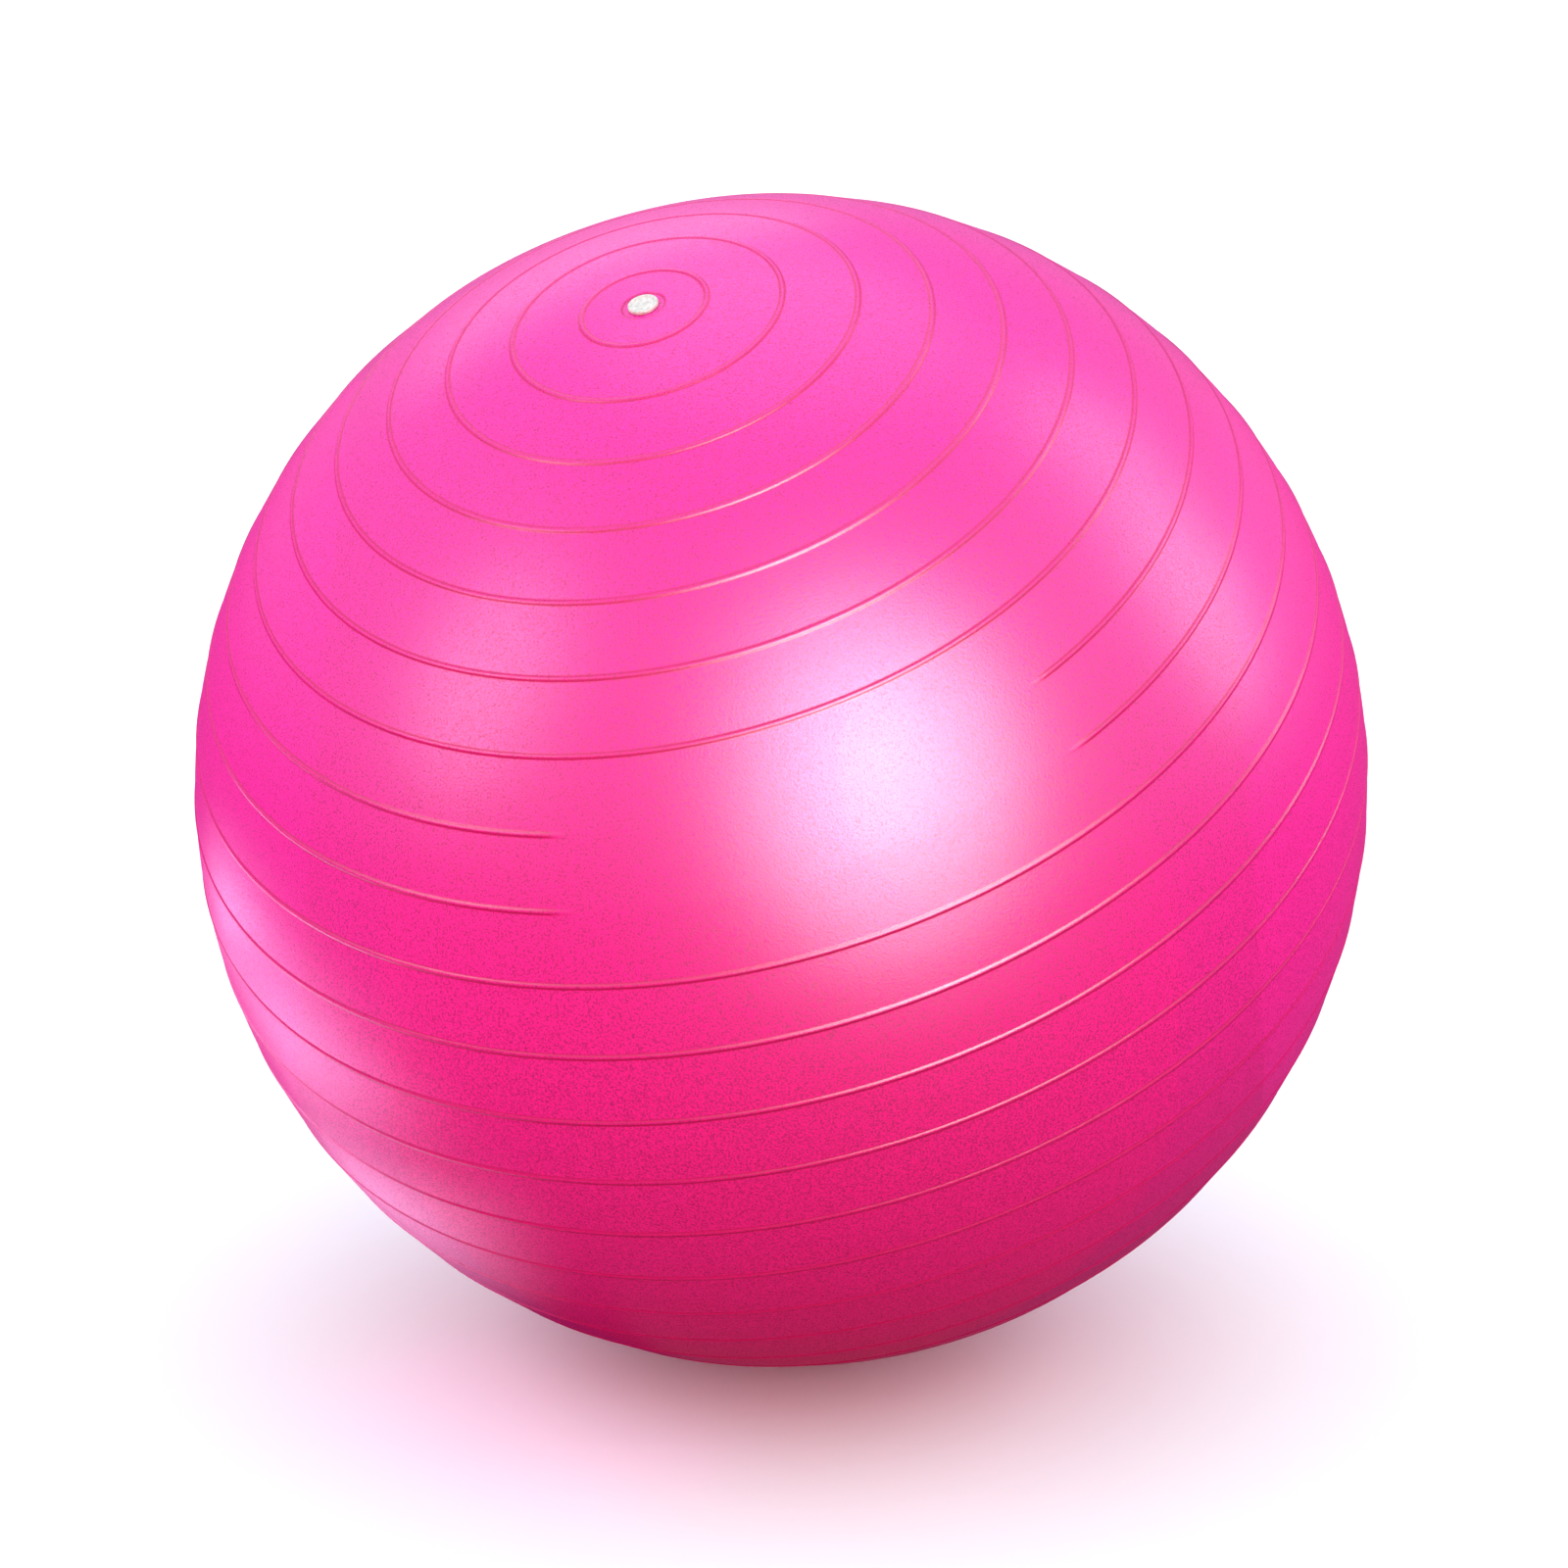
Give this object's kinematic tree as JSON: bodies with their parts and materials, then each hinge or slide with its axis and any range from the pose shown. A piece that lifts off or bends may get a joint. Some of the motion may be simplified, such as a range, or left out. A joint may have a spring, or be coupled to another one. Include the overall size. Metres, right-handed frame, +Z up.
{
  "type": "exercise ball",
  "caption": "Round inflated exercise ball with thin raised ribs in circles round its valve, a plain front panel and a push-in air plug that pulls out of its valve.",
  "frame": {"origin": "centre of the small flat that the ball rests on, at the bottom of the ball", "axes": "+Z up from the floor through the ball's centre; -Y faces the plain panel; the valve leans from +Z towards -X and -Y"},
  "size_m": [0.651, 0.65, 0.6493],
  "materials": {
    "skin": "satin pearly soft PVC with a fine matt grain",
    "valve": "smooth satin soft PVC",
    "plug": "smooth white soft plastic"
  },
  "bodies": {
    "ball": {"ball_skin": "skin", "valve_insert": "valve"},
    "plug": {"air_plug": "plug"}
  },
  "joints": [
    {"name": "plug_pull", "type": "slide", "parent": "ball", "child": "plug", "axis": [-0.2227, -0.3032, 0.9265], "range_m": [0, 0.04]}
  ]
}
